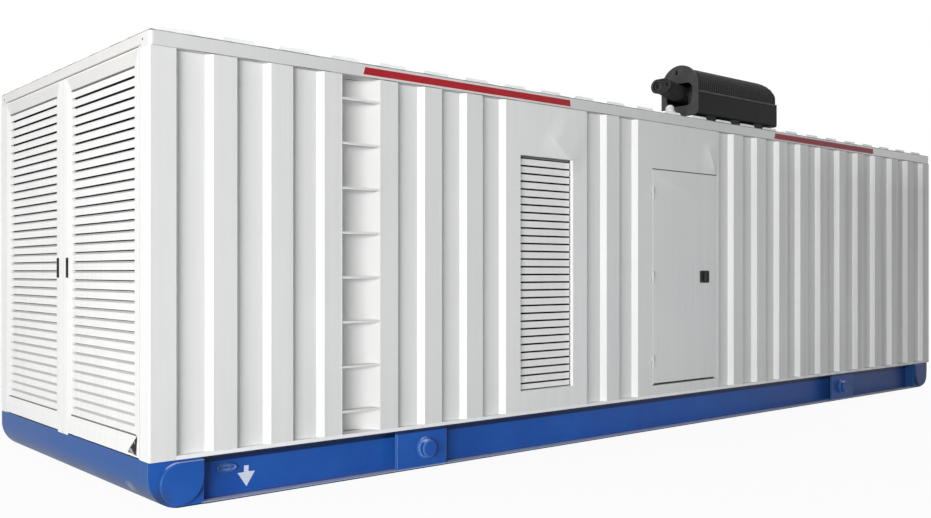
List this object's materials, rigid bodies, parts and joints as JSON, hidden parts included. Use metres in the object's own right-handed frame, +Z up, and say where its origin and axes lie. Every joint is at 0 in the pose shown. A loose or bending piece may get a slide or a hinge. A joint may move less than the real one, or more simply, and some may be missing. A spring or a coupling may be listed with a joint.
{
  "type": "containerized diesel generator",
  "caption": "Corrugated container enclosure for a diesel generator on a blue channel skid, with louvred end doors, a side door, a recessed ladder and a roof silencer.",
  "frame": {"origin": "on the ground under the middle of the enclosure", "axes": "+X along the enclosure away from the louvred end doors, -Y towards the side with the ladder and the side door, +Z up"},
  "size_m": [9.0118, 2.56, 2.978],
  "materials": {
    "white_body_paint": "satin",
    "blue_skid_paint": "satin",
    "grey_floor_paint": "matte",
    "black_heatproof_paint": "satin",
    "black_plastic": "matte",
    "cream_plastic": "matte"
  },
  "bodies": {
    "enclosure": {"corner_pads": "blue_skid_paint", "corner_posts": "white_body_paint", "cross_members": "grey_floor_paint", "door_frame_hinges": "white_body_paint", "door_head": "white_body_paint", "door_threshold": "white_body_paint", "end_headers": "white_body_paint", "floor_deck": "grey_floor_paint", "ladder_niche": "white_body_paint", "ladder_rungs": "white_body_paint", "lifting_bollards": "blue_skid_paint", "lifting_plates": "blue_skid_paint", "louvre_blades_left": "white_body_paint", "louvre_blades_right": "white_body_paint", "louvre_panel_left": "white_body_paint", "louvre_panel_right": "white_body_paint", "roof_fitting": "cream_plastic", "roof_panel": "white_body_paint", "roof_rails": "white_body_paint", "silencer_casing": "black_heatproof_paint", "silencer_cover": "black_heatproof_paint", "silencer_end_frame": "black_heatproof_paint", "silencer_feet": "black_heatproof_paint", "silencer_inlet": "black_heatproof_paint", "skid_beam_left": "blue_skid_paint", "skid_beam_right": "blue_skid_paint", "skid_corners": "blue_skid_paint", "skid_end_plates": "blue_skid_paint", "wall_left_front": "white_body_paint", "wall_left_rear": "white_body_paint", "wall_rear": "white_body_paint", "wall_right_front": "white_body_paint", "wall_right_rear": "white_body_paint", "wall_right_second": "white_body_paint", "wall_right_third": "white_body_paint", "wall_sills": "white_body_paint"},
    "side_door": {"side_door": "white_body_paint", "side_door_latch": "black_plastic", "side_door_hinges": "white_body_paint"},
    "end_door_right": {"end_door_right": "white_body_paint", "end_door_right_blades": "white_body_paint", "end_door_right_handle": "black_plastic"},
    "end_door_left": {"end_door_left": "white_body_paint", "end_door_left_blades": "white_body_paint", "end_door_left_handle": "black_plastic"}
  },
  "joints": [
    {"name": "side_door_hinge", "type": "hinge", "parent": "enclosure", "child": "side_door", "pos_m": [-0.343, -1.258, 1.2], "axis": [0, 0, -1], "range_deg": [0, 120]},
    {"name": "end_door_right_pivot", "type": "hinge", "parent": "enclosure", "child": "end_door_right", "pos_m": [-4.491, -1.113, 1.343], "axis": [0, 0, 1], "range_deg": [0, 105]},
    {"name": "end_door_left_pivot", "type": "hinge", "parent": "enclosure", "child": "end_door_left", "pos_m": [-4.491, 1.113, 1.343], "axis": [0, 0, -1], "range_deg": [0, 105]}
  ]
}
